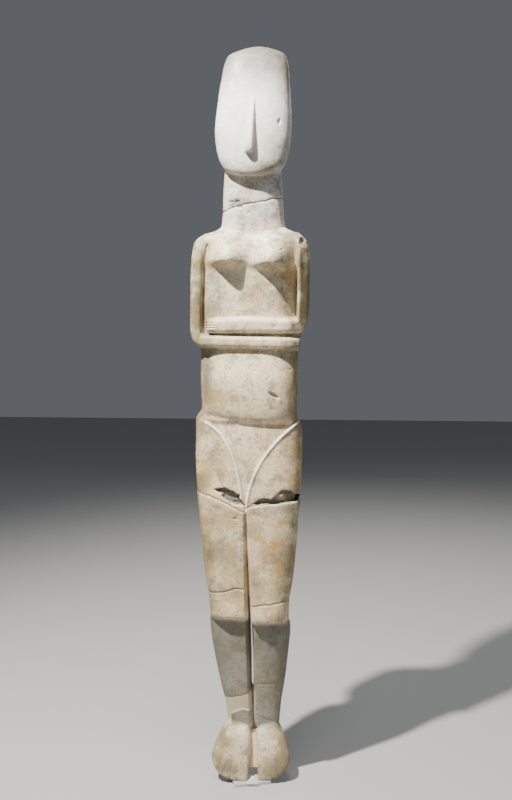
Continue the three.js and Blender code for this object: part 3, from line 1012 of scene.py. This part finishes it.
def mark_surface(mesh):
    """Stores how much of each kind of mark, painted shade and painted highlight lies on each point,
    for the material.
    """
    points = (places_of(mesh) - (0, 0, FIGURE_LOW.z)) / UNIT
    x, y, z = points.T
    forward = forward_share(y, z)
    # Painted shade in the pits, darker the deeper the pit
    shade_in_pits = 0
    for pit in PITS:
        dark = min(pit[-1] / DARK_PIT_DEPTH, 1)
        shade_in_pits = np.maximum(shade_in_pits, ease(1.3 - pit_distance(x, z, pit)) * dark)
    in_fill = ease(0.5 - outline_distance(x, z, ANKLE_FILL) / 3)
    off_old_stone = ease(0.5 + outline_distance(x, z, OLD_STONE) / 2)
    round_stains = [(middle, level, radius, radius, share) for middle, level, radius, share in OCHRE]
    on_the_front = {
        "lost": lost_share(x, z),
        "pit_shade": shade_in_pits,
        "ochre": blots(x, z, round_stains),
        "fill": in_fill * off_old_stone,
        # dull stone, and painted shade between and under the forearms and on the right of the breast,
        # jaw, face and head
        "dull_and_shade": np.clip(blots(x, z, DULL_AND_SHADE), 0, 1),
        # painted highlight along the panel's rim
        "rim": rim_highlight_share(x, z),
        # painted shade in the groove between the legs, darker where it is deeper
        "groove": np.clip(groove(x, z, LEG_LINE) / DARK_GROOVE_DEPTH, 0, 1),
    }
    for name, share in on_the_front.items():
        add_field(mesh, name, forward * share)
    add_field(mesh, "forward", forward)
    chipped = np.maximum(forward * bruise_share(x, z), chip_share(points, SHOULDER_CHIPS, 1.1))
    add_field(mesh, "chipped", chipped)
    centre, half, _, _ = smooth_table(TRUNK)(z)
    aside = np.where(z < TRUNK_TOP, np.clip(abs(x - centre) / half, 0, 1) ** 3, 0)
    # Painted shade under the breasts, added to the darker weathering of the trunk's sides
    under = 0
    for tip_x, tip, reach, _, below, _ in SWELLINGS[:2]:
        near = np.exp(-(((x - tip_x) / reach) ** 2) - ((z - tip + below) / below) ** 2)
        under = np.maximum(under, near)
    add_field(mesh, "patina_and_shade", np.maximum(aside, 0.35 * forward * under))


# Materials

class Shader:
    """A material's node tree, built one node at a time."""

    def __init__(self, name):
        self.material = bpy.data.materials.new(name)
        self.material.use_nodes = True
        self.tree = self.material.node_tree
        self.principled = self.tree.nodes["Principled BSDF"]

    def put(self, socket, value):
        if isinstance(value, bpy.types.NodeSocket):
            self.tree.links.new(value, socket)
        else:
            socket.default_value = value

    def node(self, kind, settings=None, inputs=None, output=0):
        node = self.tree.nodes.new(kind)
        for key, value in (settings or {}).items():
            setattr(node, key, value)
        for key, value in (inputs or {}).items():
            self.put(node.inputs[key], value)
        return node.outputs[output]

    def noise(self, place, scale, detail=4.0, rough=0.55):
        inputs = {"Vector": place, "Scale": scale, "Detail": detail, "Roughness": rough}
        return self.node("ShaderNodeTexNoise", None, inputs)

    def attribute(self, name):
        return self.node("ShaderNodeAttribute", {"attribute_name": name}, None, "Fac")

    def ramp(self, value, low, high, to_low=0.0, to_high=1.0, kind="SMOOTHSTEP"):
        inputs = {"Value": value, "From Min": low, "From Max": high}
        inputs.update({"To Min": to_low, "To Max": to_high})
        return self.node("ShaderNodeMapRange", {"interpolation_type": kind}, inputs)

    def straight(self, *levels):
        return self.ramp(*levels, kind="LINEAR")

    def math(self, operation, a, b):
        return self.node("ShaderNodeMath", {"operation": operation}, {0: a, 1: b})

    def times(self, first, *others):
        for other in others:
            first = self.math("MULTIPLY", first, other)
        return first

    def line(self, x, z, points, half_width):
        """1 on a line through points of x and height, falling to 0 beside it and past its ends."""
        levels = [level for _, level in points]
        left, right = points[0][0], points[-1][0]
        low, high = min(levels) - 1, max(levels) + 1
        share = self.straight(x, left, right)
        node = self.tree.nodes.new("ShaderNodeFloatCurve")
        curve = node.mapping.curves[0]
        places = [((px - left) / (right - left), (pz - low) / (high - low)) for px, pz in points]
        curve.points[0].location = places[0]
        curve.points[1].location = places[-1]
        for place in places[1:-1]:
            curve.points.new(*place)
        for point in curve.points:
            point.handle_type = "VECTOR"
        node.mapping.update()
        self.put(node.inputs["Value"], share)
        level = self.straight(node.outputs[0], 0.0, 1.0, low, high)
        away = self.math("ABSOLUTE", self.math("SUBTRACT", z, level), 0.0)
        mark = self.ramp(away, 0.35 * half_width, half_width, 1.0, 0.0)
        past_start = self.math("GREATER_THAN", x, left)
        before_end = self.math("LESS_THAN", x, right)
        return self.times(mark, past_start, before_end)

    def mix(self, share, a, b):
        return self.node("ShaderNodeMix", {"data_type": "RGBA"}, {0: share, 6: a, 7: b}, 2)

    def bands(self, value, stops):
        """Colours along a value from 0 to 1."""
        node = self.tree.nodes.new("ShaderNodeValToRGB")
        self.put(node.inputs[0], value)
        elements = node.color_ramp.elements
        while len(elements) < len(stops):
            elements.new(0.5)
        for element, (place, colour) in zip(elements, stops):
            element.position = place
            element.color = colour
        return node.outputs[0]


def colour(red, green, blue):
    return (red, green, blue, 1.0)


def marble():
    """Weathered marble: cream and grey, with ochre stains, speckle, dark losses and cracks, and
    painted shade on the lower legs, in pits and grooves, under the breasts and forearms and on the
    right of the face, with a painted highlight along the panel's rim.
    """
    shader = Shader("weathered_marble")
    place = shader.node("ShaderNodeTexCoord", None, None, "Object")
    shift = (0.0, 0.0, -FIGURE_LOW.z / UNIT)
    scale = (1 / UNIT, 1 / UNIT, 1 / UNIT)
    place = shader.node("ShaderNodeMapping", None, {0: place, 1: shift, 3: scale})
    x = shader.node("ShaderNodeSeparateXYZ", None, {0: place}, "X")
    z = shader.node("ShaderNodeSeparateXYZ", None, {0: place}, "Z")
    shader.put(shader.principled.inputs["Base Color"], marble_colour(shader, place, x, z))

    roughness = shader.ramp(shader.noise(place, 0.045, 4.0), 0.3, 0.7, 0.42, 0.66)
    shader.put(shader.principled.inputs["Roughness"], roughness)
    grain = shader.noise(place, 0.42, 4.0, 0.7)
    dents = shader.noise(place, 0.09, 5.0, 0.6)
    relief = shader.math("ADD", shader.times(grain, 0.35), dents)
    bump_inputs = {"Strength": 0.5, "Distance": 0.0014, "Height": relief}
    shader.put(shader.principled.inputs["Normal"], shader.node("ShaderNodeBump", None, bump_inputs))
    shader.principled.inputs["Subsurface Weight"].default_value = 0.06
    shader.principled.inputs["Subsurface Radius"].default_value = (1.0, 0.8, 0.6)
    shader.principled.inputs["Subsurface Scale"].default_value = 0.004
    return shader.material


def marble_colour(shader, place, x, z):
    """Tones by height, then the layers, some of them painted shade and one a painted highlight, then
    what is lost and chipped, painted shade in the pits, and what is broken and cracked.
    """
    forward = shader.attribute("forward")
    past_middle = shader.math("GREATER_THAN", x, SHIN_STEP_X)
    on_left_leg = shader.times(past_middle, shader.math("LESS_THAN", z, SHIN_STEP_TOP))
    level = shader.math("ADD", z, shader.times(on_left_leg, SHIN_STEP))
    level = shader.straight(level, 0.0, CARVED_HEIGHT)
    tone = shader.bands(level, [(height / CARVED_HEIGHT, colour(*c)) for height, c in TONES])
    # Painted shade on the lower legs, by height
    shin_shade_stops = [(height / CARVED_HEIGHT, colour(c, c, c)) for height, c in SHIN_SHADE]

    cleaned = shader.times(shader.straight(z, *HEAD_LEVELS), HEAD_CLEANNESS)
    behind = shader.math("ADD", WEAR_BEHIND, shader.times(forward, 1 - WEAR_BEHIND))
    places = {
        "wear": shader.times(shader.math("SUBTRACT", 1.0, cleaned), behind),
        # painted shade on the lower legs, on the front only
        "painted_shin_shade": shader.times(shader.bands(level, shin_shade_stops), forward),
    }
    for where, grain, strength, layer_colour in LAYERS:
        share = places[where] if where in places else shader.attribute(where)
        if grain:
            scale, detail, rough, start, full = grain
            patches = shader.ramp(shader.noise(place, scale, detail, rough), start, full)
            share = shader.times(patches, share)
        tone = shader.mix(shader.times(share, strength), tone, colour(*layer_colour))

    lost_patches = shader.ramp(shader.noise(place, 0.16), 0.35, 0.7)
    lost = shader.mix(lost_patches, *(colour(*c) for c in LOST_COLOURS))
    tone = shader.mix(shader.attribute("lost"), tone, lost)
    chip_patches = shader.ramp(shader.noise(place, 0.22), 0.4, 0.6)
    chipped = shader.mix(chip_patches, *(colour(*c) for c in CHIP_COLOURS))
    tone = shader.mix(shader.times(shader.attribute("chipped"), 0.85), tone, chipped)
    # painted shade in the pits
    tone = shader.mix(shader.times(shader.attribute("pit_shade"), 0.6), tone, colour(*CRACK_COLOUR))
    for seed, points in enumerate(BREAKS):
        mark = shader.line(x, z, jagged(points, seed), BREAK_LINE)
        tone = shader.mix(shader.times(mark, 0.85), tone, colour(*BREAK_COLOUR))
    for seed, points in enumerate(CRACKS):
        mark = shader.line(x, z, jagged(points, seed), CRACK_LINE)
        tone = shader.mix(shader.times(mark, forward, 0.6), tone, colour(*CRACK_COLOUR))
    return tone


def clear_acrylic():
    shader = Shader("clear_acrylic")
    inputs = shader.principled.inputs
    inputs["Base Color"].default_value = colour(0.92, 0.95, 0.95)
    inputs["Roughness"].default_value = 0.04
    inputs["IOR"].default_value = 1.49
    inputs["Alpha"].default_value = 0.4
    return shader.material


# Stand

def prism(name, outline, low, high, bevel):
    """Upright prism over an outline of x and y, with rounded edges."""
    mesh = bpy.data.meshes.new(name)
    shape = bmesh.new()
    bottom = [shape.verts.new((x, y, low)) for x, y in outline]
    shape.faces.new(bottom)
    lid = bmesh.ops.extrude_face_region(shape, geom=shape.faces[:])
    moved = [item for item in lid["geom"] if isinstance(item, bmesh.types.BMVert)]
    bmesh.ops.translate(shape, vec=(0, 0, high - low), verts=moved)
    bmesh.ops.recalc_face_normals(shape, faces=shape.faces)
    bmesh.ops.bevel(shape, geom=shape.edges[:], offset=bevel, segments=3, profile=0.5, affect="EDGES")
    shape.to_mesh(mesh)
    shape.free()
    return mesh


def toes_front():
    return min(row[3] for row in FOOT) * UNIT


def foot_plate(material):
    low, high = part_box("foot_plate")
    half_width, depth = PLATE_WIDTH * MM / 2, PLATE_DEPTH * MM
    outline = [(-half_width, 0), (half_width, 0), (half_width, depth), (-half_width, depth)]
    mesh = prism("foot_plate_clear", outline, low.z, high.z, STAND_BEVEL * MM)
    front = Vector((PLATE_FRONT_X * MM, toes_front() - PLATE_TOE_MARGIN * MM, 0))
    turn = Matrix.Rotation(math.radians(PLATE_TURN_DEGREES), 4, "Z")
    mesh.transform(Matrix.Translation(front) @ turn)
    mesh.materials.append(material)
    piece = new_object("foot_plate_clear", mesh)
    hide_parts("foot_plate")
    return piece


def foot_peg(material):
    low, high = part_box("foot_peg")
    height = high.z - low.z
    base, top = PEG_BASE_WIDTH * MM / 2, PEG_TOP_WIDTH * MM / 2
    outline = [(-base, 0), (base, 0), (top, height), (-top, height)]
    mesh = prism("foot_peg_clear", outline, 0, PEG_THICKNESS * MM, STAND_BEVEL * MM * 0.5)
    place = Vector(((low.x + high.x) / 2, high.y, low.z))
    mesh.transform(Matrix.Translation(place) @ Matrix.Rotation(math.pi / 2, 4, "X"))
    mesh.materials.append(material)
    piece = new_object("foot_peg_clear", mesh)
    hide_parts("foot_peg")
    return piece


# Studio

CAMERA_PLACE = (0.1324, -1.9846, 0.9519)
CAMERA_YAW_DEGREES = 3.63
CAMERA_PITCH_DEGREES = -4.29
CAMERA_ROLL_DEGREES = 0.19
CAMERA_LENS = 43.2
CAMERA_SENSOR = 36.0

# Place, target, degrees of the cone, radius, power and colour of the key light
KEY_LIGHT = ((-0.87, -0.99, 2.98), (0, 0, 0.6), 84, 0.05, 1100, (1.0, 0.96, 0.88))
# Name, place, target, width, power and colour of the square lights
AREA_LIGHTS = [
    ("top", (0.1, -0.9, 4.1), (0, 0, 0.9), 0.9, 45, (1.0, 0.98, 0.95)),
    ("fill_front", (0.9, -2.8, 1.5), (0, 0, 0.8), 2.0, 6, (0.78, 0.90, 1.0)),
    ("fill_back", (0.6, 2.2, 2.6), (0, 0, 0.9), 1.5, 30, (0.95, 0.97, 1.0)),
]
ROOM_COLOUR = (0.58, 0.62, 0.69)
ROOM_STRENGTH = 0.2
FLOOR_COLOUR = (0.36, 0.36, 0.35)
FLOOR_ROUGHNESS = 0.8
FLOOR_HALF = 8.0


def camera():
    data = bpy.data.cameras.new("camera")
    data.sensor_fit = "VERTICAL"
    data.sensor_height = CAMERA_SENSOR
    data.lens = CAMERA_LENS
    piece = new_object("camera", data)
    turn = Matrix.Rotation(math.radians(CAMERA_YAW_DEGREES), 4, "Z")
    tip = Matrix.Rotation(math.radians(90 + CAMERA_PITCH_DEGREES), 4, "X")
    roll = Matrix.Rotation(math.radians(CAMERA_ROLL_DEGREES), 4, "Z")
    piece.matrix_world = Matrix.Translation(CAMERA_PLACE) @ turn @ tip @ roll
    bpy.context.scene.camera = piece


def new_light(name, data, place, target, power, tint):
    data.energy = power
    data.color = tint
    piece = new_object(name, data)
    piece.location = place
    piece.rotation_euler = (Vector(target) - Vector(place)).to_track_quat("-Z", "Y").to_euler()


def area_light(name, place, target, size, power, tint):
    data = bpy.data.lights.new(name, "AREA")
    data.size = size
    new_light(name, data, place, target, power, tint)


def spot_light(name, place, target, degrees, radius, power, tint):
    data = bpy.data.lights.new(name, "SPOT")
    data.spot_size = math.radians(degrees)
    data.spot_blend = 1.0
    data.shadow_soft_size = radius
    new_light(name, data, place, target, power, tint)


def studio():
    spot_light("key", *KEY_LIGHT)
    for light in AREA_LIGHTS:
        area_light(*light)
    world = bpy.data.worlds.new("pale_room")
    world.use_nodes = True
    background = world.node_tree.nodes["Background"]
    background.inputs["Color"].default_value = colour(*ROOM_COLOUR)
    background.inputs["Strength"].default_value = ROOM_STRENGTH
    bpy.context.scene.world = world
    half = FLOOR_HALF
    mesh = bpy.data.meshes.new("floor")
    corners = [(-half, -half, 0), (half, -half, 0), (half, half, 0), (-half, half, 0)]
    mesh.from_pydata(corners, [], [(0, 1, 2, 3)])
    pale = Shader("pale_floor")
    pale.principled.inputs["Base Color"].default_value = colour(*FLOOR_COLOUR)
    pale.principled.inputs["Roughness"].default_value = FLOOR_ROUGHNESS
    mesh.materials.append(pale.material)
    floor = new_object("floor", mesh)


camera()
studio()
acrylic = clear_acrylic()
for finished in (figurine(), foot_plate(acrylic), foot_peg(acrylic)):
    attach(finished, "root")
